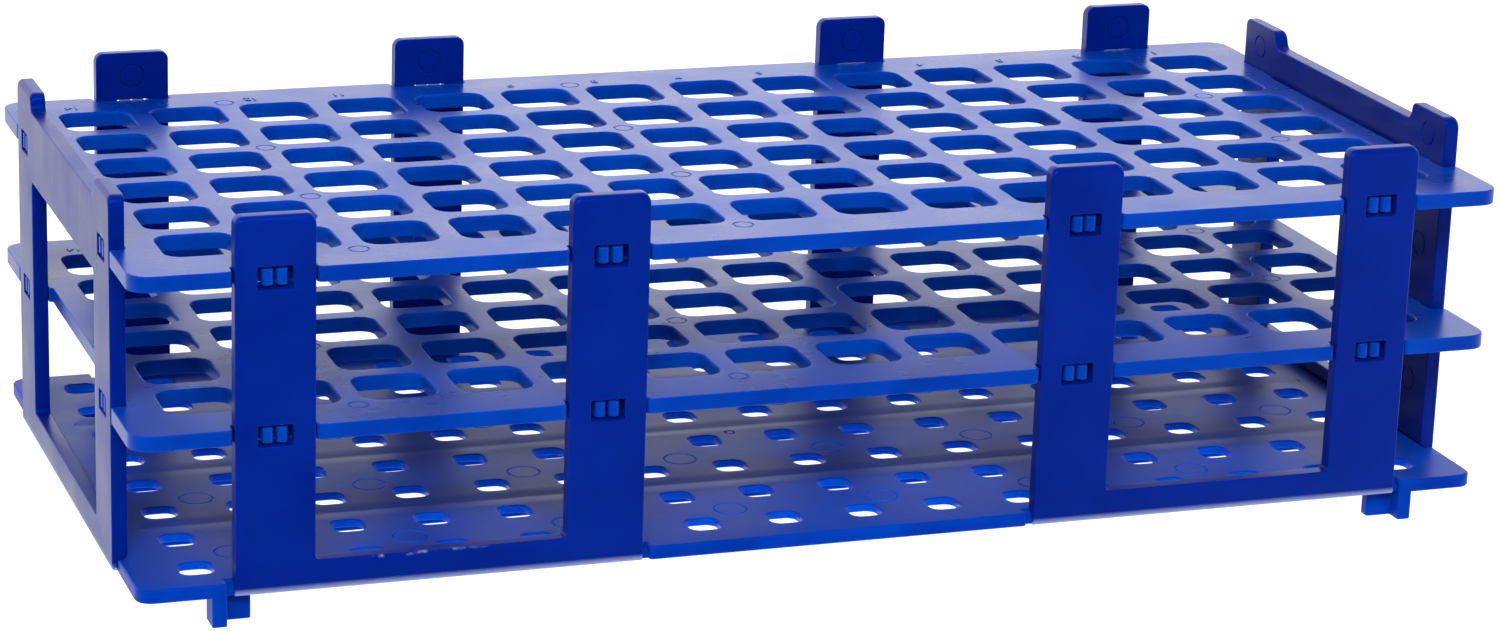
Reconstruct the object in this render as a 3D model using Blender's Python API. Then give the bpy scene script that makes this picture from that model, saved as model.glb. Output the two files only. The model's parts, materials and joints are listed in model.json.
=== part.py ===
"""Folding test tube rack for 84 tubes of 13 mm, moulded in blue polypropylene.

Two grids of square wells stand on six flat panels that fold up from the base plate on film hinges.
Each panel's legs drop into notches in the grids' edges, and pairs of snap prongs on the grids catch in
the legs' windows. The rack stands on four L-shaped feet, which drop behind the leg tops of a rack
below it. The origin is the middle of the footprint, +X runs along the rack and the front is -Y.
"""

import math

import bmesh
import bpy
from mathutils import Matrix, Vector
from mathutils.geometry import delaunay_2d_cdt

MM = 0.001

# Whole rack
LENGTH = 265 * MM
DEPTH = 126 * MM
HEIGHT = 75 * MM
GAP = 0.3 * MM  # clearance between separate pieces

# Wells of both grids
COLUMNS = 14
ROWS = 6
PITCH = 17.95 * MM
WELL = 13.8 * MM
WELL_RADIUS = 2.5 * MM

# Levels
FOOT_HEIGHT = 5.5 * MM
BASE_THICKNESS = 2.6 * MM
MIDDLE_GRID = (33.7 * MM, 36.5 * MM)
TOP_GRID = (62.5 * MM, 65.4 * MM)
GRID_RADIUS = 4 * MM
BASE_RADIUS = 3 * MM
BASE_TRIM = 0.9 * MM  # the tongues at the two ends stop short of the end panels

# Drain holes of the base
HOLE_COLUMNS = 16
HOLE_ROWS = 8
HOLE_PITCH = (15.9 * MM, 15.3 * MM)
HOLE = 6.2 * MM
HOLE_CHAMFER = 1.3 * MM

# Underside of the base: a thin sheet inside a rim, stiffened by three ribs along the rack
SHEET = 1.5 * MM
RIM = 6.15 * MM  # from the rack's outline to the hollow
RIB_SPACING = 30.6 * MM
RIB_THICKNESS = 1.5 * MM
RIB_LENGTH = 253.5 * MM
RIB_BOTTOM = 4.45 * MM

# Folding panels
PANEL_THICKNESS = 2.9 * MM
SIDE_CENTRE = 76.4 * MM
SIDE_WIDTH = 75.5 * MM
SIDE_LEG = 14.5 * MM
END_WIDTH = 89.2 * MM
END_LEG = 14.2 * MM
BAR_TOP = 11.2 * MM
UPPER_BAR = (57.7 * MM, 71.5 * MM)
PANEL_CLEARANCE = 1.4 * MM  # from a panel's side to the base's tongue beside it
TIP_RADIUS = 1.6 * MM
TIP_BEVEL = 0.8 * MM

# Windows in the legs, and the prongs that catch in them
WINDOW_WIDTH = 6.4 * MM
WINDOWS = ((33.1 * MM, 36.8 * MM), (61.9 * MM, 65.8 * MM))
PRONG_WIDTH = 2.1 * MM
PRONG_SPLIT = 0.5 * MM
PRONG_LENGTH = 2.9 * MM
END_SETBACK = 0.7 * MM  # how far the grids' ends lie behind the end panels' legs

# Film hinges: a thin bead along the rack's bottom edge, centred on the fold
HINGE_RADIUS = 0.6 * MM
HINGE_SIDES = 8
MITRE_SHIFT = GAP / 2 * math.sqrt(2)

# Feet, measured from the rack's middle
FOOT_X = (110.6 * MM, 115.6 * MM, 118.3 * MM)
FOOT_Y = (57.0 * MM, 59.6 * MM)
OVERLAP = 1 * MM  # how far the feet's and ribs' solids reach into the base plate

BLUE = (0.004, 0.035, 0.30, 1)

BASE_TOP = FOOT_HEIGHT + BASE_THICKNESS
HINGE_HEIGHT = FOOT_HEIGHT + HINGE_RADIUS
NOTCH_DEPTH = PANEL_THICKNESS + GAP
FOOT_SIGNS = [(x, y) for x in (-1, 1) for y in (-1, 1)]

# The panels of a long side and of an end, as centre, width and leg width
LONG_PANELS = [(-SIDE_CENTRE, SIDE_WIDTH, SIDE_LEG), (SIDE_CENTRE, SIDE_WIDTH, SIDE_LEG)]
END_PANELS = [(0, END_WIDTH, END_LEG)]

# Each side of the rack: the turn that takes the front to it, its distance from the middle, half its
# length, its panels, and how deep the grids' edges lie between a panel's legs
SIDES = {
    "front": (0, DEPTH / 2, LENGTH / 2, LONG_PANELS, 0),
    "right": (90, LENGTH / 2, DEPTH / 2, END_PANELS, NOTCH_DEPTH + END_SETBACK),
    "back": (180, DEPTH / 2, LENGTH / 2, LONG_PANELS, 0),
    "left": (270, LENGTH / 2, DEPTH / 2, END_PANELS, NOTCH_DEPTH + END_SETBACK),
}
PANEL_NAMES = {
    "front": ("front_left", "front_right"),
    "right": ("right_end",),
    "back": ("back_right", "back_left"),
    "left": ("left_end",),
}


def clear_scene():
    for obj in list(bpy.data.objects):
        bpy.data.objects.remove(obj, do_unlink=True)


def plastic(name):
    """Deep blue polypropylene, semi-gloss."""
    material = bpy.data.materials.new(name)
    material.use_nodes = True
    shader = material.node_tree.nodes["Principled BSDF"]
    shader.inputs["Base Color"].default_value = BLUE
    shader.inputs["Roughness"].default_value = 0.35
    shader.inputs["Metallic"].default_value = 0
    material.diffuse_color = BLUE
    return material


def add_object(name, mesh, location=(0, 0, 0), turn=0):
    obj = bpy.data.objects.new(name, mesh)
    obj.location = location
    obj.rotation_euler.z = math.radians(turn)
    obj.data.materials.append(plastic(name))
    bpy.context.scene.collection.objects.link(obj)
    return obj


def arc(centre, radius, start, steps):
    """Points of a quarter turn, anticlockwise from the start angle in degrees."""
    angles = [math.radians(start + 90 * step / steps) for step in range(steps + 1)]
    return [(centre[0] + radius * math.cos(a), centre[1] + radius * math.sin(a)) for a in angles]


def rounded_rectangle(centre, width, height, radius, steps=2):
    """An anticlockwise outline with a quarter turn at each corner."""
    points = []
    for start, x, y in ((0, 1, 1), (90, -1, 1), (180, -1, -1), (270, 1, -1)):
        corner = (centre[0] + x * (width / 2 - radius), centre[1] + y * (height / 2 - radius))
        points += arc(corner, radius, start, steps)
    return points


def cap(bm, loops, facing_down):
    """Fills the area between the first loop of vertices and the others, which are holes in it."""
    vertices = [vertex for loop in loops for vertex in loop]
    owner = [number for number, loop in enumerate(loops) for _ in loop]
    edges = []
    for loop in loops:
        first = len(edges)
        edges += [(first + i, first + (i + 1) % len(loop)) for i in range(len(loop))]
    flat = [vertex.co.to_2d() for vertex in vertices]
    _, _, triangles, origins, _, _ = delaunay_2d_cdt(flat, edges, [], 1, 1e-9)
    for triangle in triangles:
        corners = [origins[i][0] for i in triangle]
        owners = {owner[i] for i in corners}
        if len(owners) == 1 and owners != {0}:
            continue  # it lies inside a hole
        if facing_down:
            corners.reverse()
        bm.faces.new([vertices[i] for i in corners])


def wall(bm, lower, upper, inward):
    """Joins two loops of vertices, one above the other, facing out of or into them."""
    for i in range(len(lower)):
        j = (i + 1) % len(lower)
        corners = [lower[i], lower[j], upper[j], upper[i]]
        if inward:
            corners.reverse()
        bm.faces.new(corners)


def slab(name, levels, holes=(), placing=None):
    """A closed flat body. Each level is a height and its anticlockwise outline, with as many points as the
    others. The holes run straight through it. The placing matrix turns it from the XY plane into place."""
    bm = bmesh.new()
    rings = [[bm.verts.new((x, y, height)) for x, y in outline] for height, outline in levels]
    bottom, top = levels[0][0], levels[-1][0]
    hole_bottoms = [[bm.verts.new((x, y, bottom)) for x, y in hole] for hole in holes]
    hole_tops = [[bm.verts.new((x, y, top)) for x, y in hole] for hole in holes]
    cap(bm, [rings[0], *hole_bottoms], facing_down=True)
    cap(bm, [rings[-1], *hole_tops], facing_down=False)
    for lower, upper in zip(rings, rings[1:]):
        wall(bm, lower, upper, inward=False)
    for lower, upper in zip(hole_bottoms, hole_tops):
        wall(bm, lower, upper, inward=True)
    if placing:
        bm.transform(placing)
    mesh = bpy.data.meshes.new(name)
    bm.to_mesh(mesh)
    bm.free()
    return mesh


def side_point(side, along, depth):
    """The XY place of a point on one side of the rack, so far along it and so deep into it."""
    turn, distance = SIDES[side][:2]
    point = Matrix.Rotation(math.radians(turn), 2) @ Vector((along, depth - distance))
    return tuple(point)


def rack_outline(radius, notches_of, trim=0):
    """The rack's rectangular outline with rounded corners, its two ends cut back by the trim. notches_of
    gives each side's extra points, as distances along and into the side."""
    points = []
    for side, (_, _, half, panels, _) in SIDES.items():
        cut, corner = (trim, half) if panels is END_PANELS else (0, half - trim)
        points += [side_point(side, along, max(depth, cut)) for along, depth in notches_of(side)]
        for along, depth in arc((corner - radius, radius), radius, 270, 3):
            points.append(side_point(side, along, depth + cut))
    return points


def prong_points(centre):
    """Two snap prongs that stand out of a notch's floor."""
    points = []
    for direction in (-1, 1):
        middle = centre + direction * (PRONG_SPLIT + PRONG_WIDTH) / 2
        left, right = middle - PRONG_WIDTH / 2, middle + PRONG_WIDTH / 2
        tip = NOTCH_DEPTH - PRONG_LENGTH
        points += [(left, NOTCH_DEPTH), (left, tip), (right, tip), (right, NOTCH_DEPTH)]
    return points


def leg_notches(side):
    """A grid's notches along one side: two for each panel's legs, and its edge between them."""
    points = []
    for centre, width, leg in SIDES[side][3]:
        spread = (width - leg) / 2
        half = leg / 2 + GAP
        between = SIDES[side][4]
        first, second = centre - spread, centre + spread
        points += [(first - half, 0), (first - half, NOTCH_DEPTH)]
        points += prong_points(first)
        points += [(first + half, NOTCH_DEPTH), (first + half, between)]
        points += [(second - half, between), (second - half, NOTCH_DEPTH)]
        points += prong_points(second)
        points += [(second + half, NOTCH_DEPTH), (second + half, 0)]
    return points


def make_grid(name, heights):
    outline = rack_outline(GRID_RADIUS, leg_notches)
    wells = []
    for column in range(COLUMNS):
        for row in range(ROWS):
            centre = ((column - (COLUMNS - 1) / 2) * PITCH, (row - (ROWS - 1) / 2) * PITCH)
            wells.append(rounded_rectangle(centre, WELL, WELL, WELL_RADIUS))
    add_object(name, slab(name, [(heights[0], outline), (heights[1], outline)], wells))


def base_outline(depth):
    """The base's outline, cut back so deep where the panels fold up."""

    def panel_notches(side):
        points = []
        for centre, width, _ in SIDES[side][3]:
            half = width / 2 + PANEL_CLEARANCE
            left, right = centre - half, centre + half
            points += [(left, 0), (left, depth), (right, depth), (right, 0)]
        return points

    return rack_outline(BASE_RADIUS, panel_notches, BASE_TRIM)


def drain_holes():
    holes = []
    for column in range(HOLE_COLUMNS):
        for row in range(HOLE_ROWS):
            x = (column - (HOLE_COLUMNS - 1) / 2) * HOLE_PITCH[0]
            y = (row - (HOLE_ROWS - 1) / 2) * HOLE_PITCH[1]
            holes.append(rounded_rectangle((x, y), HOLE, HOLE, HOLE_CHAMFER, steps=1))
    return holes


def prism(bm, points, low, high):
    """Adds an upright prism on an anticlockwise outline."""
    sole, roof = [[bm.verts.new((x, y, height)) for x, y in points] for height in (low, high)]
    bm.faces.new(sole[::-1])
    bm.faces.new(roof)
    wall(bm, sole, roof, inward=False)


def bar_outline(width, depth, y=0):
    w, d = width / 2, depth / 2
    return [(-w, y - d), (w, y - d), (w, y + d), (-w, y + d)]


def make_hollow(bm):
    width, depth = LENGTH - 2 * RIM, DEPTH - 2 * RIM
    prism(bm, bar_outline(width, depth), FOOT_HEIGHT - OVERLAP, BASE_TOP - SHEET)


def make_feet_and_ribs(bm):
    """Four L-shaped feet under the corners, and the ribs."""
    inner, rib, outer = FOOT_X
    back, front = FOOT_Y
    face = DEPTH / 2
    outline = [(inner, back), (outer, back), (outer, face), (rib, face), (rib, front), (inner, front)]
    for sign_x, sign_y in FOOT_SIGNS:
        points = [(sign_x * x, sign_y * y) for x, y in outline]
        if sign_x * sign_y < 0:
            points.reverse()
        prism(bm, points, 0, FOOT_HEIGHT + OVERLAP)
    for place in (-RIB_SPACING, 0, RIB_SPACING):
        prism(bm, bar_outline(RIB_LENGTH, RIB_THICKNESS, place), RIB_BOTTOM, BASE_TOP - SHEET / 2)


def combine(obj, operation, name, build):
    """Cuts from an object, or joins to it, the hidden body that build makes."""
    bm = bmesh.new()
    build(bm)
    mesh = bpy.data.meshes.new(name)
    bm.to_mesh(mesh)
    bm.free()
    tool = bpy.data.objects.new(name, mesh)
    tool.hide_render = True
    tool.display_type = "WIRE"
    bpy.context.scene.collection.objects.link(tool)
    modifier = obj.modifiers.new(name, "BOOLEAN")
    modifier.operation = operation
    modifier.solver = "EXACT"
    modifier.object = tool


def make_base():
    """The base plate. Its edge is mitred towards the panels, from the hinge bead up and inwards."""
    relief = 2 * HINGE_RADIUS + GAP
    levels = [
        (FOOT_HEIGHT, base_outline(relief)),
        (FOOT_HEIGHT + relief - MITRE_SHIFT, base_outline(relief)),
        (BASE_TOP, base_outline(BASE_THICKNESS + MITRE_SHIFT)),
    ]
    base = add_object("base_plate", slab("base_plate", levels, drain_holes()))
    combine(base, "DIFFERENCE", "hollow", make_hollow)
    combine(base, "UNION", "feet_and_ribs", make_feet_and_ribs)


def panel_outline(width, leg, saddle, bottom, top):
    """A panel seen from outside, with its origin on the fold: two legs, and the bar between them up to the
    saddle."""
    half = width / 2
    inside = half - leg
    points = [(-half, bottom), (half, bottom)]
    points += arc((half - TIP_RADIUS, top - TIP_RADIUS), TIP_RADIUS, 0, 2)
    points += arc((inside + TIP_RADIUS, top - TIP_RADIUS), TIP_RADIUS, 90, 2)
    points += [(inside, saddle), (-inside, saddle)]
    points += arc((-inside - TIP_RADIUS, top - TIP_RADIUS), TIP_RADIUS, 0, 2)
    points += arc((-half + TIP_RADIUS, top - TIP_RADIUS), TIP_RADIUS, 90, 2)
    return points


def window_holes(width, leg):
    holes = []
    for centre in (-(width - leg) / 2, (width - leg) / 2):
        for low, high in WINDOWS:
            middle = (centre, (low + high) / 2 - HINGE_HEIGHT)
            holes.append(rounded_rectangle(middle, WINDOW_WIDTH, high - low, 0.3 * MM, steps=1))
    return holes


def panel_mesh(name, width, leg, saddle, holes):
    """An upright panel whose origin is the middle of its fold, with its outside towards -Y."""
    inner, outer = HINGE_RADIUS - PANEL_THICKNESS, HINGE_RADIUS
    top = HEIGHT - HINGE_HEIGHT
    edge = HINGE_RADIUS + GAP
    shape = [
        (inner, -inner + MITRE_SHIFT, top),
        (MITRE_SHIFT - edge, edge, top),
        (outer - TIP_BEVEL, edge, top),
        (outer, edge, top - TIP_BEVEL),
    ]
    levels = [(out, panel_outline(width, leg, saddle, low, high)) for out, low, high in shape]
    return slab(name, levels, holes + window_holes(width, leg), Matrix.Rotation(math.radians(90), 4, "X"))


def side_panel_mesh():
    return panel_mesh("side_panel", SIDE_WIDTH, SIDE_LEG, BAR_TOP - HINGE_HEIGHT, [])


def end_panel_mesh():
    """A frame: the side panel's shape with an upper bar and a large opening below it."""
    low, high = BAR_TOP - HINGE_HEIGHT, UPPER_BAR[0] - HINGE_HEIGHT
    opening = rounded_rectangle((0, (low + high) / 2), END_WIDTH - 2 * END_LEG, high - low, 0.5 * MM, steps=1)
    return panel_mesh("end_panel", END_WIDTH, END_LEG, UPPER_BAR[1] - HINGE_HEIGHT, [opening])


def hinge_mesh(name, width):
    """The film hinge's bead, along X."""
    bm = bmesh.new()
    along_x = Matrix.Rotation(math.radians(90), 4, "Y") @ Matrix.Rotation(math.pi / HINGE_SIDES, 4, "Z")
    bmesh.ops.create_cone(
        bm,
        cap_ends=True,
        segments=HINGE_SIDES,
        radius1=HINGE_RADIUS,
        radius2=HINGE_RADIUS,
        depth=width,
        matrix=along_x,
    )
    mesh = bpy.data.meshes.new(name)
    bm.to_mesh(mesh)
    bm.free()
    return mesh


def make_panels():
    """Every panel and its film hinge, each with its origin on the fold."""
    for side, (turn, _, _, panels, _) in SIDES.items():
        for name, (centre, width, _) in zip(PANEL_NAMES[side], panels):
            x, y = side_point(side, centre, HINGE_RADIUS)
            fold = (x, y, HINGE_HEIGHT)
            mesh = side_panel_mesh() if side in ("front", "back") else end_panel_mesh()
            add_object(name + "_panel", mesh, fold, turn)
            add_object(name + "_hinge", hinge_mesh(name + "_hinge", width), fold, turn)


def main():
    clear_scene()
    make_base()
    make_grid("middle_grid", MIDDLE_GRID)
    make_grid("top_grid", TOP_GRID)
    make_panels()


main()
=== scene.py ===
"""Looks of the folding test tube rack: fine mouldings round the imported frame, their plastic, the studio.

Lengths are in metres. Heights and outer sizes are read from the frame; what is set here is the fine
detail that the frame's plain solids leave out: lead-ins, edge radii, fillets and moulding marks.
"""

import json
import math

import bmesh
import bpy
from mathutils import Matrix, Vector
from mathutils.geometry import delaunay_2d_cdt

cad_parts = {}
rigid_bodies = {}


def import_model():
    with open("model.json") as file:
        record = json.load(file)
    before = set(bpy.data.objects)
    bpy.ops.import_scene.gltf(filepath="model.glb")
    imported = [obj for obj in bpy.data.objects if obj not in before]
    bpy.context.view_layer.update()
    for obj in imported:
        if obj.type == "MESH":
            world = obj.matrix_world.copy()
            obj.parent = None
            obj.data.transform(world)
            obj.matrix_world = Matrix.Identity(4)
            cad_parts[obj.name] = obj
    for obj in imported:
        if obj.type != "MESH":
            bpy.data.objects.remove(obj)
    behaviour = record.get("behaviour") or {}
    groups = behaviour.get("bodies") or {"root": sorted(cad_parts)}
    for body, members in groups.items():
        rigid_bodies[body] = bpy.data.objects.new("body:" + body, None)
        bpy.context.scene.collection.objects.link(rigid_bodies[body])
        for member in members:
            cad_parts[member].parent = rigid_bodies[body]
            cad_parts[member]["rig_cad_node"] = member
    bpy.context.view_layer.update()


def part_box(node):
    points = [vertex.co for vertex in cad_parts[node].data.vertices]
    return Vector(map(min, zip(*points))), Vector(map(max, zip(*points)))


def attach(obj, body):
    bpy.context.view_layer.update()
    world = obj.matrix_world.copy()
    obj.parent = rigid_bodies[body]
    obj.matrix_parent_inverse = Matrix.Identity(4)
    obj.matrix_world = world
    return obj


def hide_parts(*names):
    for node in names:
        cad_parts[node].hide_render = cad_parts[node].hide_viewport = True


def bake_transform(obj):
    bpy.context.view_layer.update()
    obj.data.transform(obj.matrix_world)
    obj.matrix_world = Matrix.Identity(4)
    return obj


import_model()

MM = 0.001

# Wells
COLUMNS = 14
ROWS = 6
PITCH = 17.95 * MM
WELL = 13.5 * MM
WELL_RADIUS = 2.9 * MM
LEAD_IN = 0.42 * MM
LEAD_IN_DEPTH = 0.95 * MM
WELL_DRAFT = 0.04 * MM

# Drain holes of the base
HOLE_COLUMNS = 16
HOLE_ROWS = 8
HOLE_PITCH = (15.9 * MM, 15.3 * MM)
HOLE = 6.2 * MM
HOLE_RADIUS = 1.9 * MM

# Panels and what holds them
CLEARANCE = 0.3 * MM
PANEL_CLEARANCE = 1.4 * MM
SIDE_LEG = 14.5 * MM
END_LEG = 14.2 * MM
BAR_TOP = 11.2 * MM
UPPER_BAR = (57.7 * MM, 71.5 * MM)
PANEL_EDGE = 0.22 * MM
WINDOW_WIDTH = 6.4 * MM
WINDOWS = {"middle_grid": (32.9 * MM, 36.9 * MM), "top_grid": (61.6 * MM, 65.9 * MM)}
WINDOW_GAP = 0.08 * MM
PRONG_WIDTH = 2.1 * MM
PRONG_SPLIT = 0.5 * MM
PRONG_LENGTH = 2.95 * MM
PRONG_RADIUS = 0.9 * MM
END_SETBACK = 0.7 * MM

# Corner radii in plan
GRID_RADIUS = 4 * MM
BASE_RADIUS = 3 * MM
BASE_TRIM = 0.9 * MM
TIP_RADIUS = 1.6 * MM

# Underside of the base: a thin sheet with a rim and long ribs
SHEET = 1.5 * MM
RIM = 6.15 * MM
RIB_PLACES = (-30.6 * MM, 0, 30.6 * MM)
RIB_THICKNESS = 1.5 * MM
RIB_BOTTOM = 4.45 * MM
RIB_LENGTH = 252.4 * MM

# Sink marks over the ribs: the widths of their mouth and floor
SINK_LENGTH = 250 * MM
SINK_WIDTHS = (4.4 * MM, 1.2 * MM)
SINK_DEPTH = 0.16 * MM

# Feet, measured from the rack's middle
FOOT_X = (110.6 * MM, 115.6 * MM, 118.3 * MM)
FOOT_Y = (57.0 * MM, 59.6 * MM)

# Scuffs, as middles and reaches: on a bottom bar's edge and on leg tops
SCUFFS = (
    ((-82 * MM, -63 * MM, 11.0 * MM), (15 * MM, 1.4 * MM, 0.5 * MM)),
    ((-106 * MM, -60.2 * MM, 75 * MM), (5 * MM, 0.5 * MM, 0.5 * MM)),
    ((-44 * MM, -60.2 * MM, 75 * MM), (4 * MM, 0.4 * MM, 0.4 * MM)),
)

# Film hinge
FILM_THICKNESS = 0.4 * MM
FILM_FLAT = 1.1 * MM
FILM_EDGE = 0.35 * MM

# Camera
CAMERA_PLACE = (-0.2725, -0.7628, 0.2758)
CAMERA_AZIMUTH = 19.882
CAMERA_ELEVATION = 16.815
CAMERA_ROLL = 1.927
CAMERA_LENS = 103.29

# Panels, and the turn that takes the front of the rack to each
SIDE_PANELS = {"front_left": 0, "front_right": 0, "back_left": 180, "back_right": 180}
END_PANELS = {"left_end": 270, "right_end": 90}

base_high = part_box("base_plate")[1]
BASE_TOP = base_high.z
HALF_DEPTH = base_high.y
FOOT_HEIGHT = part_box("front_left_hinge")[0].z
side_low, side_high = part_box("front_right_panel")
end_low, end_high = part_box("right_end_panel")
HALF_LENGTH = end_high.x
HEIGHT = side_high.z
PANEL_THICKNESS = side_high.y - side_low.y
SIDE_WIDTH = side_high.x - side_low.x
SIDE_CENTRE = (side_high.x + side_low.x) / 2
END_WIDTH = end_high.y - end_low.y
NOTCH_DEPTH = PANEL_THICKNESS + CLEARANCE / 3
FOLD_RADIUS = 0.6 * MM
FOLD_HEIGHT = FOOT_HEIGHT + FOLD_RADIUS


# ---------------------------------------------------------------- outlines


def turned(point, angle):
    c, s = math.cos(angle), math.sin(angle)
    return (point[0] * c - point[1] * s, point[0] * s + point[1] * c)


def filleted(corners, steps=4):
    """A closed outline from (x, y, radius) corners, each rounded by its radius."""
    points = []
    for i, (x, y, radius) in enumerate(corners):
        if radius == 0:
            points.append((x, y))
            continue
        here = Vector((x, y))
        back = (Vector(corners[i - 1][:2]) - here).normalized()
        ahead = (Vector(corners[(i + 1) % len(corners)][:2]) - here).normalized()
        half = back.angle(ahead) / 2
        centre = here + (back + ahead).normalized() * radius / math.sin(half)
        first = here + back * radius / math.tan(half) - centre
        sweep = math.pi - 2 * half
        if back.x * ahead.y - back.y * ahead.x > 0:
            sweep = -sweep
        for step in range(steps + 1):
            offset_x, offset_y = turned(first, sweep * step / steps)
            points.append((centre.x + offset_x, centre.y + offset_y))
    return points


def rectangle(centre, width, height, radius, steps=6):
    x, y = centre
    w, h = width / 2, height / 2
    signs = ((1, 1), (-1, 1), (-1, -1), (1, -1))
    return filleted([(x + w * sign_x, y + h * sign_y, radius) for sign_x, sign_y in signs], steps)


def circle(centre, radius, sides=24):
    angles = [2 * math.pi * i / sides for i in range(sides)]
    return [(centre[0] + radius * math.cos(a), centre[1] + radius * math.sin(a)) for a in angles]


def inset(outline, distance):
    """An anticlockwise outline moved inwards, or outwards by a negative distance."""
    if distance == 0:
        return outline
    moved = []
    count = len(outline)
    for i in range(count):
        here = Vector(outline[i])
        before = (here - Vector(outline[i - 1])).normalized()
        after = (Vector(outline[(i + 1) % count]) - here).normalized()
        normal_1, normal_2 = Vector((-before.y, before.x)), Vector((-after.y, after.x))
        shift = (normal_1 + normal_2) / (1 + normal_1.dot(normal_2))
        moved.append(tuple(here + shift * distance))
    return moved


def quarter(radius, steps=3):
    """(distance from the face, inset) pairs round an edge, from the side to the face."""
    if radius == 0:
        return [(0, 0)]
    turns = [math.pi / 2 * step / steps for step in range(steps + 1)]
    return [(radius * (1 - math.sin(turn)), radius * (1 - math.cos(turn))) for turn in turns]


def edge_profile(low, high, low_radius, high_radius, between=()):
    """(height, inset) pairs up a side whose two edges are rounded."""
    pairs = [(low + distance, shift) for distance, shift in reversed(quarter(low_radius))]
    pairs += [(height, 0) for height in between]
    return pairs + [(high - distance, shift) for distance, shift in quarter(high_radius)]


# ---------------------------------------------------------------- solids


def as_object(bm, name):
    mesh = bpy.data.meshes.new(name)
    bm.to_mesh(mesh)
    bm.free()
    mesh.shade_smooth()
    mesh.set_sharp_from_angle(angle=math.radians(50))
    obj = bpy.data.objects.new(name, mesh)
    bpy.context.scene.collection.objects.link(obj)
    return obj


class Moulding:
    """A mesh being built in plan: the outline lies in XY and the thickness runs along Z."""

    def __init__(self):
        self.bm = bmesh.new()

    def ring(self, outline, height):
        return [self.bm.verts.new((x, y, height)) for x, y in outline]

    def wall(self, lower, upper, inward=False):
        for i in range(len(lower)):
            j = (i + 1) % len(lower)
            corners = [lower[i], lower[j], upper[j], upper[i]]
            if inward:
                corners.reverse()
            self.bm.faces.new(corners)

    def walls(self, rings, inward=False):
        for lower, upper in zip(rings, rings[1:]):
            self.wall(lower, upper, inward)

    def cap(self, loops, facing_down=False):
        """Fills the first loop around the others."""
        vertices = [vertex for loop in loops for vertex in loop]
        owner = [number for number, loop in enumerate(loops) for _ in loop]
        edges = []
        for loop in loops:
            first = len(edges)
            edges += [(first + i, first + (i + 1) % len(loop)) for i in range(len(loop))]
        flat = [vertex.co.to_2d() for vertex in vertices]
        _, _, triangles, origins, _, _ = delaunay_2d_cdt(flat, edges, [], 1, 1e-9)
        for triangle in triangles:
            corners = [origins[i][0] for i in triangle]
            owners = {owner[i] for i in corners}
            if len(owners) == 1 and owners != {0}:
                continue
            if facing_down:
                corners.reverse()
            self.bm.faces.new([vertices[i] for i in corners])

    def body(self, levels, holes=(), marks=(), low_marks=()):
        """levels are (height, outline) pairs. Each hole is a list of such pairs, upwards. Each mark is
        (centre, radius, depth), the round print of an ejector pin in the top or the underside."""
        rings = [self.ring(outline, height) for height, outline in levels]
        self.walls(rings)
        bottoms, tops = [rings[0]], [rings[-1]]
        for hole in holes:
            inner = [self.ring(outline, height) for height, outline in hole]
            self.walls(inner, inward=True)
            bottoms.append(inner[0])
            tops.append(inner[-1])
        for centre, radius, depth in marks:
            tops.append(self.mark(centre, radius, levels[-1][0], -depth, False))
        for centre, radius, depth in low_marks:
            bottoms.append(self.mark(centre, radius, levels[0][0], depth, True))
        self.cap(bottoms, facing_down=True)
        self.cap(tops)

    def mark(self, centre, radius, height, depth, facing_down):
        """The print of an ejector pin: a flush disc inside a fine groove."""
        rings = []
        for inwards, sunk in ((0, 0), (0.1 * MM, depth), (0.28 * MM, depth), (0.38 * MM, 0)):
            rings.append(self.ring(circle(centre, radius - inwards), height + sunk))
        for outer, inner in zip(rings, rings[1:]):
            self.wall(outer, inner, inward=facing_down)
        self.bm.faces.new(list(reversed(rings[-1])) if facing_down else rings[-1])
        return rings[0]

    def finish(self, name, placing=None):
        """The mesh as an object with smooth rounded edges and flat faces."""
        if placing:
            self.bm.transform(placing)
        obj = as_object(self.bm, name)
        normals = obj.modifiers.new("flat faces stay flat", "WEIGHTED_NORMAL")
        normals.keep_sharp = True
        normals.weight = 80
        return obj


# ---------------------------------------------------------------- the rack's plan

# Each side: the turn that takes the front to it, its distance, half its length, and each panel's
# centre, width and leg width
ON_SIDE = [(-SIDE_CENTRE, SIDE_WIDTH, SIDE_LEG), (SIDE_CENTRE, SIDE_WIDTH, SIDE_LEG)]
ON_END = [(0, END_WIDTH, END_LEG)]
SIDES = [
    (0, HALF_DEPTH, HALF_LENGTH, ON_SIDE, 0),
    (90, HALF_LENGTH, HALF_DEPTH, ON_END, NOTCH_DEPTH + END_SETBACK),
    (180, HALF_DEPTH, HALF_LENGTH, ON_SIDE, 0),
    (270, HALF_LENGTH, HALF_DEPTH, ON_END, NOTCH_DEPTH + END_SETBACK),
]


def around(radius, notches_of, trim=0):
    """The rack's outline as corners with radii, side by side, its two ends cut back by the trim."""
    corners = []
    for side in SIDES:
        turn, distance, half = side[:3]
        if side[3] is ON_END:
            distance -= trim
        else:
            half -= trim
        local = notches_of(side) + [(half, 0, radius)]
        for along, depth, corner_radius in local:
            x, y = turned((along, depth - distance), math.radians(turn))
            corners.append((x, y, corner_radius))
    return corners


def prongs(centre):
    """The two snap prongs on a notch's floor."""
    corners = []
    tip = NOTCH_DEPTH - PRONG_LENGTH
    for direction in (-1, 1):
        middle = centre + direction * (PRONG_SPLIT + PRONG_WIDTH) / 2
        left, right = middle - PRONG_WIDTH / 2, middle + PRONG_WIDTH / 2
        corners += [(left, NOTCH_DEPTH, 0), (left, tip, PRONG_RADIUS)]
        corners += [(right, tip, PRONG_RADIUS), (right, NOTCH_DEPTH, 0)]
    return corners


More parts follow.
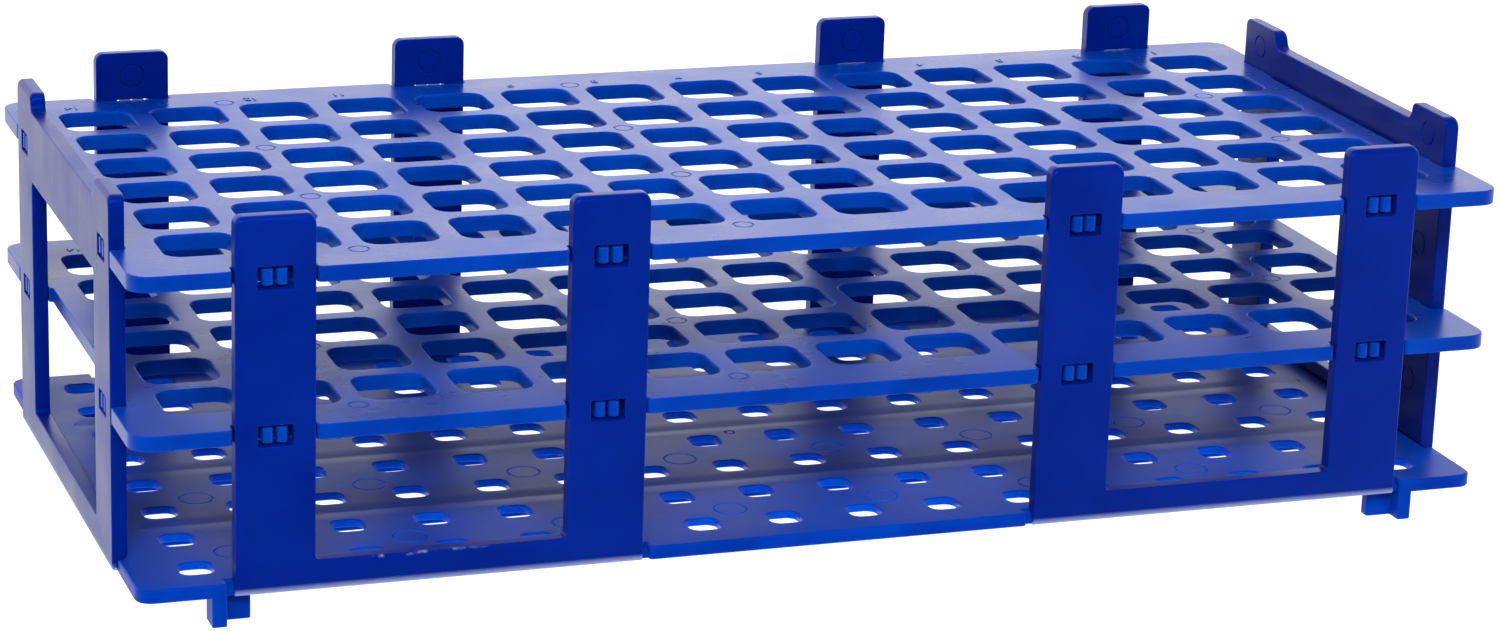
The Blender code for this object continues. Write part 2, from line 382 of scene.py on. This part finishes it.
def grid_notches(side):
    mouth, floor = 0.9 * MM, 0.35 * MM
    corners = []
    between = side[4]
    for centre, width, leg in side[3]:
        spread, half = (width - leg) / 2, leg / 2 + CLEARANCE
        first, second = centre - spread, centre + spread
        corners += [(first - half, 0, mouth), (first - half, NOTCH_DEPTH, floor)]
        corners += prongs(first)
        if between:
            corners += [(first + half, NOTCH_DEPTH, 0.3 * MM), (first + half, between, 0.2 * MM)]
            corners += [(second - half, between, 0.2 * MM), (second - half, NOTCH_DEPTH, 0.3 * MM)]
        else:
            corners += [(first + half, NOTCH_DEPTH, floor), (first + half, 0, mouth)]
            corners += [(second - half, 0, mouth), (second - half, NOTCH_DEPTH, floor)]
        corners += prongs(second)
        corners += [(second + half, NOTCH_DEPTH, floor), (second + half, 0, mouth)]
    return corners


def base_notches(depth):
    def notches(side):
        corners = []
        floor, mouth = (depth - BASE_TRIM, 0) if side[3] is ON_END else (depth, 0.6 * MM)
        for centre, width, _ in side[3]:
            half = width / 2 + PANEL_CLEARANCE
            corners += [(centre - half, 0, mouth), (centre - half, floor, 0)]
            corners += [(centre + half, floor, 0), (centre + half, 0, mouth)]
        return corners

    return notches


# ---------------------------------------------------------------- pieces


def mark_inner_walls(bm):
    """Gives the second material to the upright walls inside the rim: wells, drain holes and ribs. On the
    base that is the lighter 'lit' blue, a painted glow.
    """
    bm.normal_update()
    for face in bm.faces:
        middle = face.calc_center_median()
        inside = abs(middle.x) < HALF_LENGTH - RIM and abs(middle.y) < HALF_DEPTH - RIM
        if inside and abs(face.normal.z) < 0.7:
            face.material_index = 1


def well(centre, low, high):
    """A tube well: rounded square, drafted, with a soft lead-in at the top."""
    shape = rectangle(centre, WELL, WELL, WELL_RADIUS, steps=6)
    levels = [(low, inset(shape, -0.15 * MM)), (low + 0.06 * MM, inset(shape, -WELL_DRAFT))]
    levels += [(low + 0.2 * MM, shape), (high - LEAD_IN_DEPTH, inset(shape, -WELL_DRAFT))]
    steps = 5
    for step in range(1, steps + 1):
        turn = math.pi / 2 * step / steps
        rise = LEAD_IN_DEPTH * math.sin(turn)
        spread = LEAD_IN * (1 - math.cos(turn))
        levels.append((high - LEAD_IN_DEPTH + rise, inset(shape, -WELL_DRAFT - spread)))
    return levels


def crossing(column, row):
    """The place between four wells, counting half pitches from the first well."""
    return ((column - (COLUMNS - 1) / 2) * PITCH, (row - (ROWS - 1) / 2) * PITCH)


def grid_marks():
    """Ejector pin prints on the ribs' crossings and along the edges."""
    marks = []
    for column in (1.5, 5.5, 12.5):
        for row in (-0.5, 1.5, 3.5, 5.5):
            marks.append((crossing(column, row), 2.0 * MM, 0.13 * MM))
    return marks


def make_grid(node):
    low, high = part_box(node)
    outline = filleted(around(GRID_RADIUS, grid_notches), steps=5)
    sides = edge_profile(low.z, high.z, 0.06 * MM, 0.22 * MM)
    levels = [(height, inset(outline, distance)) for height, distance in sides]
    centres = [crossing(column, row) for column in range(COLUMNS) for row in range(ROWS)]
    moulding = Moulding()
    moulding.body(levels, [well(centre, low.z, high.z) for centre in centres], grid_marks())
    mark_inner_walls(moulding.bm)
    obj = moulding.finish(node.replace("grid", "well_grid"))
    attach(obj, "rack")
    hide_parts(node)


def drain_hole(centre):
    shape = rectangle(centre, HOLE, HOLE, HOLE_RADIUS, steps=4)
    levels = edge_profile(BASE_TOP - SHEET, BASE_TOP, 0.12 * MM, 0.3 * MM)
    return [(height, inset(shape, -distance)) for height, distance in levels]


def base_levels():
    """The base's sides: rounded edges, and the mitre that the panels fold up against."""
    between = [FOOT_HEIGHT + rise * MM for rise in (0.85, 1.6)]
    levels = []
    for height, distance in edge_profile(FOOT_HEIGHT, BASE_TOP, 0.25 * MM, 0.4 * MM, between):
        mitre = max(height - FOOT_HEIGHT + 0.1 * MM, FOLD_RADIUS + FILM_EDGE)
        outline = filleted(around(BASE_RADIUS, base_notches(mitre), BASE_TRIM), steps=5)
        levels.append((height, inset(outline, distance)))
    return levels


def base_marks():
    """Prints of the ejector pins, and the stub of the gate in the middle."""
    marks = [((-1.5 * MM, -3.9 * MM), 1.1 * MM, 0.25 * MM)]
    for x in (-111.2, -78, -47.7, -16.2, 14.2, 45.6, 78.6, 111.2):
        for y in (-46.7, -17, 13.6, 44.4):
            marks.append(((x * MM, y * MM), 3.3 * MM, 0.25 * MM))
    return marks


def make_base():
    """The base: a thin drained sheet in a rim, with ribs under it and faint sink marks over them."""
    moulding = Moulding()
    outer = [moulding.ring(outline, height) for height, outline in base_levels()]
    moulding.walls(outer)
    holes = []
    for column in range(HOLE_COLUMNS):
        for row in range(HOLE_ROWS):
            x = (column - (HOLE_COLUMNS - 1) / 2) * HOLE_PITCH[0]
            y = (row - (HOLE_ROWS - 1) / 2) * HOLE_PITCH[1]
            rings = [moulding.ring(outline, height) for height, outline in drain_hole((x, y))]
            moulding.walls(rings, inward=True)
            holes.append(rings)
    marks = []
    for centre, radius, depth in base_marks():
        marks.append(moulding.mark(centre, radius, BASE_TOP, -depth, False))
    for place in RIB_PLACES:
        trough = [rectangle((0, place), SINK_LENGTH, width, width / 3, steps=2) for width in SINK_WIDTHS]
        edge = moulding.ring(trough[0], BASE_TOP)
        floor = moulding.ring(trough[1], BASE_TOP - SINK_DEPTH)
        moulding.wall(edge, floor)
        moulding.cap([floor])
        marks.append(edge)
    moulding.cap([outer[-1]] + [rings[-1] for rings in holes] + marks)
    ceiling = BASE_TOP - SHEET
    hollow = rectangle((0, 0), 2 * (HALF_LENGTH - RIM), 2 * (HALF_DEPTH - RIM), 1.0 * MM, steps=4)
    mouth = moulding.ring(hollow, FOOT_HEIGHT)
    roof = moulding.ring(inset(hollow, 0.03 * MM), ceiling)
    moulding.wall(mouth, roof, inward=True)
    moulding.cap([outer[0], mouth], facing_down=True)
    ribs = []
    for place in RIB_PLACES:
        shape = rectangle((0, place), RIB_LENGTH, RIB_THICKNESS, 0.4 * MM, steps=3)
        levels = edge_profile(RIB_BOTTOM, ceiling, 0.2 * MM, 0)
        rings = [moulding.ring(inset(shape, distance), height) for height, distance in levels]
        moulding.walls(rings)
        moulding.cap([rings[0]], facing_down=True)
        ribs.append(rings[-1])
    moulding.cap([roof] + [rings[0] for rings in holes] + ribs, facing_down=True)
    mark_inner_walls(moulding.bm)
    obj = moulding.finish("drained_base")
    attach(obj, "rack")
    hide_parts("base_plate")


def make_foot(name, sign_x, sign_y):
    """An L-shaped rib under one corner."""
    inner, outer, end = FOOT_X
    back, front = FOOT_Y
    face = HALF_DEPTH
    shape = [
        (inner, back, 0.5 * MM),
        (end, back, 1.2 * MM),
        (end, face, 0.3 * MM),
        (outer, face, 0.3 * MM),
        (outer, front, 0.4 * MM),
        (inner, front, 0.5 * MM),
    ]
    corners = [(x * sign_x, y * sign_y, radius) for x, y, radius in shape]
    if sign_x * sign_y < 0:
        corners.reverse()
    outline = filleted(corners, steps=4)
    moulding = Moulding()
    levels = edge_profile(0, FOOT_HEIGHT + 0.25 * MM, 0.22 * MM, 0)
    moulding.body([(height, inset(outline, distance)) for height, distance in levels])
    obj = moulding.finish(name)
    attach(obj, "rack")


def panel_outline(width, leg, saddle, bottom, top, fillet):
    """A panel seen from outside, its origin on the fold."""
    half = width / 2
    inside = half - leg
    return filleted(
        [
            (-half, bottom, 0.3 * MM),
            (half, bottom, 0.3 * MM),
            (half, top, TIP_RADIUS),
            (inside, top, TIP_RADIUS),
            (inside, saddle, fillet),
            (-inside, saddle, fillet),
            (-inside, top, TIP_RADIUS),
            (-half, top, TIP_RADIUS),
        ],
        steps=6,
    )


def window(centre, node, inner, outer):
    """A leg's window round a grid's prongs: close on the inside, flared to the outside."""
    outer_sill, outer_lintel = WINDOWS[node]
    low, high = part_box(node)
    inner_sill, inner_lintel = low.z - WINDOW_GAP, high.z + WINDOW_GAP
    edge = 0.14 * MM
    levels = []
    for out, distance in edge_profile(inner, outer, edge / 4, edge):
        part = (out - inner) / (outer - inner)
        sill = inner_sill + (outer_sill - inner_sill) * part
        lintel = inner_lintel + (outer_lintel - inner_lintel) * part
        middle = (centre, (sill + lintel) / 2 - FOLD_HEIGHT)
        shape = rectangle(middle, WINDOW_WIDTH, lintel - sill, 0.35 * MM, steps=3)
        levels.append((out, inset(shape, -distance)))
    return levels


def make_panel(name, turn, width, leg, saddle, fillet, opening=None):
    """One folding panel. It is built flat with its outside up, and then stood on its fold."""
    low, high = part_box(name + "_panel")
    top = HEIGHT - FOLD_HEIGHT
    inner, outer = FOLD_RADIUS - PANEL_THICKNESS, FOLD_RADIUS
    between = [distance * MM for distance in (-1.2, -0.3, -0.05, 0.2)]
    levels = []
    for out, distance in edge_profile(inner, outer, PANEL_EDGE, PANEL_EDGE, between):
        bottom = max(0.05 * MM - out, FILM_EDGE)
        crown = max(0, out - outer + 0.9 * MM)
        outline = panel_outline(width, leg, saddle, bottom, top - crown * crown / (1.1 * MM), fillet)
        levels.append((out, inset(outline, distance)))
    holes = []
    for centre in (-(width - leg) / 2, (width - leg) / 2):
        holes += [window(centre, node, inner, outer) for node in WINDOWS]
    if opening:
        holes.append(opening(inner, outer))
    marks = []
    for centre in (-(width - leg) / 2, (width - leg) / 2):
        for height in (20 * MM, 48 * MM, 70.2 * MM):
            marks.append(((centre, height - FOLD_HEIGHT), 2.5 * MM, 0.2 * MM))
    moulding = Moulding()
    moulding.body(levels, holes, low_marks=marks)
    facing = Matrix.Rotation(math.radians(turn), 4, "Z")
    outwards = facing @ Vector((0, -1, 0))
    middle = (low + high) / 2
    place = middle + outwards * (PANEL_THICKNESS / 2 - FOLD_RADIUS)
    place.z = FOLD_HEIGHT
    standing = Matrix.Translation(place) @ facing
    obj = moulding.finish(name + "_leg_panel", standing @ Matrix.Rotation(math.pi / 2, 4, "X"))
    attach(obj, name + "_panel")
    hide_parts(name + "_panel")
    make_film(name, width, standing)


def end_opening(inner, outer):
    """The large opening of an end panel, between its bars."""
    low, high = BAR_TOP - FOLD_HEIGHT, UPPER_BAR[0] - FOLD_HEIGHT
    shape = rectangle((0, (low + high) / 2), END_WIDTH - 2 * END_LEG, high - low, 1.0 * MM, steps=5)
    flare = inset(shape, -PANEL_EDGE)
    return [(inner, flare), (inner + PANEL_EDGE, shape), (outer - PANEL_EDGE, shape), (outer, flare)]


def make_index(node):
    """Raised column numbers along the grid's back edge, to be read from the back."""
    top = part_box(node)[1].z
    bm = bmesh.new()
    for column in range(COLUMNS):
        text = bpy.data.curves.new("number", "FONT")
        text.body = str(COLUMNS - column)
        text.size = 2.9 * MM
        text.align_x = "CENTER"
        text.align_y = "CENTER"
        text.extrude = 0.09 * MM
        text.bevel_depth = 0.05 * MM
        text.bevel_resolution = 1
        text.resolution_u = 3
        number = bpy.data.objects.new("number", text)
        mesh = bpy.data.meshes.new_from_object(number)
        x = crossing(column, 0)[0] - 3.2 * MM
        mesh.transform(Matrix.Translation((x, 55.7 * MM, top)) @ Matrix.Rotation(math.pi, 4, "Z"))
        bm.from_mesh(mesh)
        bpy.data.objects.remove(number)
        bpy.data.curves.remove(text)
        bpy.data.meshes.remove(mesh)
    obj = as_object(bm, node.replace("grid", "column_numbers"))
    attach(obj, "rack")


def film_section():
    """The film hinge's two skins across the fold, as (outward, upward) pairs of points from the fold."""
    outer, inner = [], []
    steps = 3
    for step in range(steps):
        along, sunk = FILM_FLAT * (1 - step / steps), 0.04 * MM * (steps - 1 - step)
        outer.append((-along, sunk - FOLD_RADIUS))
        inner.append((-along, FILM_THICKNESS - FOLD_RADIUS))
    steps = 8
    for step in range(steps + 1):
        turn = math.pi / 2 * step / steps
        for skin, radius in ((outer, FOLD_RADIUS), (inner, FOLD_RADIUS - FILM_THICKNESS)):
            skin.append((radius * math.sin(turn), -radius * math.cos(turn)))
    steps = 3
    for step in range(1, steps + 1):
        along, sunk = FILM_FLAT * step / steps, 0.04 * MM * (step - 1)
        outer.append((FOLD_RADIUS - sunk, along))
        inner.append((FOLD_RADIUS - FILM_THICKNESS, along))
    return outer + inner[::-1]


def make_film(name, width, standing):
    """The film hinge: a thin strip from under the base, round the fold and up the panel's outside."""
    section = film_section()
    columns = 24
    bm = bmesh.new()
    rings = []
    for column in range(columns + 1):
        x = (column / columns - 0.5) * (width - 0.1 * MM)
        rings.append([bm.verts.new((x, -outward, upward)) for outward, upward in section])
    for first, second in zip(rings, rings[1:]):
        for i in range(len(first)):
            j = (i + 1) % len(first)
            bm.faces.new([first[i], second[i], second[j], first[j]])
    bm.faces.new(rings[0])
    bm.faces.new(rings[-1][::-1])
    bmesh.ops.recalc_face_normals(bm, faces=bm.faces)
    bm.transform(standing)
    obj = as_object(bm, name + "_film_hinge")
    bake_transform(obj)
    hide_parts(name + "_hinge")


# ---------------------------------------------------------------- plastic


# Each plastic: dark and light blue, roughness, index of refraction, and how its fine streaks are stretched
PLASTICS = {
    "grid": ((0, 0.021, 0.2), (0, 0.032, 0.26), 0.24, 1.4, (0.3, 1, 1)),
    "well": ((0, 0.023, 0.2), (0, 0.034, 0.26), 0.3, 1.2, (1, 1, 1)),
    "base": ((0, 0.018, 0.2), (0, 0.029, 0.27), 0.34, 1.25, (1, 0.6, 1)),
    # lit: the base's blue made lighter for the walls of its drain holes and ribs, a painted glow of light
    # shining up through the thin sheet
    "lit": ((0, 0.04, 0.33), (0, 0.055, 0.4), 0.2, 1.4, (1, 1, 1)),
    "panel": ((0, 0.006, 0.116), (0, 0.009, 0.15), 0.3, 1.48, (1, 1, 0.05)),
}


def scuff_and_hinge_highlight_mask(nodes, links, place, noise, ramp):
    """Where the panels' plastic is made pale: a painted highlight along the film hinges' rounded bottom
    edge, standing in for the white floor's reflection, and a few real scuffs.
    """
    split = nodes.new("ShaderNodeSeparateXYZ")
    links.new(place, split.inputs["Vector"])
    # Painted highlight: pale colour fading upwards from the fold, standing in for the floor's reflection
    # on the rounded edge
    total = ramp(split.outputs["Z"], 5.6 * MM, 6.9 * MM, 0.6, 0)
    speckle = ramp(noise(500, 8), 0.52, 0.72, 0, 0.6)
    for centre, reach in SCUFFS:
        mapping = nodes.new("ShaderNodeMapping")
        mapping.vector_type = "TEXTURE"
        mapping.inputs["Location"].default_value = centre
        mapping.inputs["Scale"].default_value = reach
        links.new(place, mapping.inputs["Vector"])
        distance = nodes.new("ShaderNodeVectorMath")
        distance.operation = "LENGTH"
        links.new(mapping.outputs["Vector"], distance.inputs[0])
        patch = nodes.new("ShaderNodeMath")
        patch.operation = "MULTIPLY_ADD"
        links.new(ramp(distance.outputs["Value"], 0.3, 1, 1, 0), patch.inputs[0])
        links.new(speckle, patch.inputs[1])
        links.new(total, patch.inputs[2])
        total = patch.outputs["Value"]
    return total


def polypropylene(name):
    """Blue polypropylene straight from the mould: semi-gloss, faintly translucent, with a fine satin
    texture and slow waviness from cooling. The panels' has a few pale scuffs, and a painted highlight
    along the film hinges."""
    dark, light, smooth, gloss, streaked = PLASTICS[name]
    material = bpy.data.materials.new(name + "_polypropylene")
    material.use_nodes = True
    nodes, links = material.node_tree.nodes, material.node_tree.links
    shader = nodes["Principled BSDF"]
    shader.inputs["IOR"].default_value = gloss
    shader.inputs["Specular Tint"].default_value = (0, 0.08, 1, 1)
    shader.inputs["Subsurface Weight"].default_value = 0.8
    shader.inputs["Subsurface Radius"].default_value = (0.1, 0.5, 1.0)
    shader.inputs["Subsurface Scale"].default_value = 3 * MM
    place = nodes.new("ShaderNodeTexCoord").outputs["Object"]

    def noise(scale, detail, stretch=(1, 1, 1)):
        mapping = nodes.new("ShaderNodeMapping")
        mapping.inputs["Scale"].default_value = stretch
        links.new(place, mapping.inputs["Vector"])
        texture = nodes.new("ShaderNodeTexNoise")
        texture.inputs["Scale"].default_value = scale
        texture.inputs["Detail"].default_value = detail
        links.new(mapping.outputs["Vector"], texture.inputs["Vector"])
        return texture.outputs["Fac"]

    def ramp(value, low, high, low_value, high_value):
        node = nodes.new("ShaderNodeMapRange")
        node.inputs["From Min"].default_value = low
        node.inputs["From Max"].default_value = high
        node.inputs["To Min"].default_value = low_value
        node.inputs["To Max"].default_value = high_value
        links.new(value, node.inputs["Value"])
        return node.outputs["Result"]

    blotches = noise(60, 3)
    mix = nodes.new("ShaderNodeMix")
    mix.data_type = "RGBA"
    mix.inputs["A"].default_value = (*dark, 1)
    mix.inputs["B"].default_value = (*light, 1)
    links.new(ramp(blotches, 0.35, 0.65, 0, 1), mix.inputs["Factor"])
    colour = mix.outputs["Result"]
    if name == "panel":
        # Pale blue-white for the real scuffs and for the painted highlight along the hinges
        pale = nodes.new("ShaderNodeMix")
        pale.data_type = "RGBA"
        links.new(colour, pale.inputs["A"])
        pale.inputs["B"].default_value = (0.36, 0.41, 0.6, 1)
        links.new(scuff_and_hinge_highlight_mask(nodes, links, place, noise, ramp), pale.inputs["Factor"])
        colour = pale.outputs["Result"]
    links.new(colour, shader.inputs["Base Color"])
    streaks = noise(900, 2, streaked)
    add = nodes.new("ShaderNodeMath")
    add.operation = "ADD"
    links.new(ramp(blotches, 0.3, 0.7, smooth, smooth + 0.1), add.inputs[0])
    links.new(ramp(streaks, 0.3, 0.8, 0, 0.03), add.inputs[1])
    links.new(add.outputs["Value"], shader.inputs["Roughness"])
    height = None
    for value, strength, distance in ((noise(45, 1), 0.6, 0.02 * MM), (noise(2600, 2), 0.35, 0.004 * MM)):
        bump = nodes.new("ShaderNodeBump")
        bump.inputs["Strength"].default_value = strength
        bump.inputs["Distance"].default_value = distance
        links.new(value, bump.inputs["Height"])
        if height:
            links.new(height, bump.inputs["Normal"])
        height = bump.outputs["Normal"]
    links.new(height, shader.inputs["Normal"])
    return material


# ---------------------------------------------------------------- studio


def make_floor():
    bpy.ops.mesh.primitive_plane_add(size=8, location=(0, 0, 0))
    floor = bpy.context.object
    floor.name = "floor"
    material = bpy.data.materials.new("pale_floor")
    material.use_nodes = True
    shader = material.node_tree.nodes["Principled BSDF"]
    shader.inputs["Base Color"].default_value = (0.1, 0.1, 0.1, 1)
    shader.inputs["Roughness"].default_value = 0.9
    shader.inputs["Specular IOR Level"].default_value = 0.1
    shader.inputs["Emission Color"].default_value = (1, 1, 1, 1)
    shader.inputs["Emission Strength"].default_value = 1.15
    floor.data.materials.append(material)


def area_light(name, place, target, size, power):
    data = bpy.data.lights.new(name, "AREA")
    data.shape = "RECTANGLE"
    data.size, data.size_y = size
    data.energy = power
    light = bpy.data.objects.new(name, data)
    light.location = place
    direction = Vector(target) - Vector(place)
    light.rotation_euler = direction.to_track_quat("-Z", "Y").to_euler()
    bpy.context.scene.collection.objects.link(light)


def make_world():
    """White surroundings low behind the rack, dimmer overhead, in front of it and to its sides."""
    world = bpy.data.worlds.new("studio")
    bpy.context.scene.world = world
    world.use_nodes = True
    nodes, links = world.node_tree.nodes, world.node_tree.links
    split = nodes.new("ShaderNodeSeparateXYZ")
    links.new(nodes.new("ShaderNodeTexCoord").outputs["Generated"], split.inputs["Vector"])

    def ramp(value, low, high, low_value, high_value):
        node = nodes.new("ShaderNodeMapRange")
        for socket, number in zip(node.inputs[1:5], (low, high, low_value, high_value)):
            socket.default_value = number
        links.new(value, node.inputs["Value"])
        return node.outputs["Result"]

    strength = ramp(split.outputs["Y"], -0.4, 0.6, 0.5, 2.2)
    factors = [
        ramp(split.outputs["Z"], 0.35, 0.8, 1, 0.45),
        ramp(split.outputs["X"], 0.05, 0.3, 0.72, 1),
        ramp(split.outputs["X"], 0.35, 0.55, 1, 0.7),
    ]
    for factor in factors:
        product = nodes.new("ShaderNodeMath")
        product.operation = "MULTIPLY"
        links.new(strength, product.inputs[0])
        links.new(factor, product.inputs[1])
        strength = product.outputs["Value"]
    links.new(strength, nodes["Background"].inputs["Strength"])
    nodes["Background"].inputs["Color"].default_value = (1, 1, 1, 1)


def make_camera():
    data = bpy.data.cameras.new("camera")
    data.lens = CAMERA_LENS
    data.sensor_width = 36
    camera = bpy.data.objects.new("camera", data)
    turn = Matrix.Rotation(math.radians(-CAMERA_AZIMUTH), 4, "Z")
    tilt = Matrix.Rotation(math.radians(90 - CAMERA_ELEVATION), 4, "X")
    roll = Matrix.Rotation(math.radians(CAMERA_ROLL), 4, "Z")
    camera.matrix_world = Matrix.Translation(CAMERA_PLACE) @ turn @ tilt @ roll
    bpy.context.scene.collection.objects.link(camera)
    bpy.context.scene.camera = camera


def make_rack():
    for node in ("top_grid", "middle_grid"):
        make_grid(node)
        make_index(node)
    make_base()
    for sign_x, side in ((-1, "left"), (1, "right")):
        for sign_y, end in ((-1, "front"), (1, "back")):
            make_foot(f"{end}_{side}_foot", sign_x, sign_y)
    for name, turn in SIDE_PANELS.items():
        make_panel(name, turn, SIDE_WIDTH, SIDE_LEG, BAR_TOP - FOLD_HEIGHT, 0.8 * MM)
    for name, turn in END_PANELS.items():
        make_panel(name, turn, END_WIDTH, END_LEG, UPPER_BAR[1] - FOLD_HEIGHT, 1.8 * MM, end_opening)
    plastics = {name: polypropylene(name) for name in PLASTICS}
    for obj in bpy.context.scene.objects:
        if obj.type == "MESH" and "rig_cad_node" not in obj:
            if "panel" in obj.name or "film" in obj.name:
                used = ("panel",)
            elif "base" in obj.name or "foot" in obj.name:
                # The base's inner walls get the lighter 'lit' blue, a painted glow
                used = ("base", "lit")
            else:
                used = ("grid", "well")
            for name in used:
                obj.data.materials.append(plastics[name])


make_rack()
make_floor()
make_world()
make_camera()
area_light("softbox", (-0.5, -1.6, 1.35), (0, 0, 0.04), (1.6, 0.5), 80)
bpy.context.scene.view_settings.view_transform = "Standard"
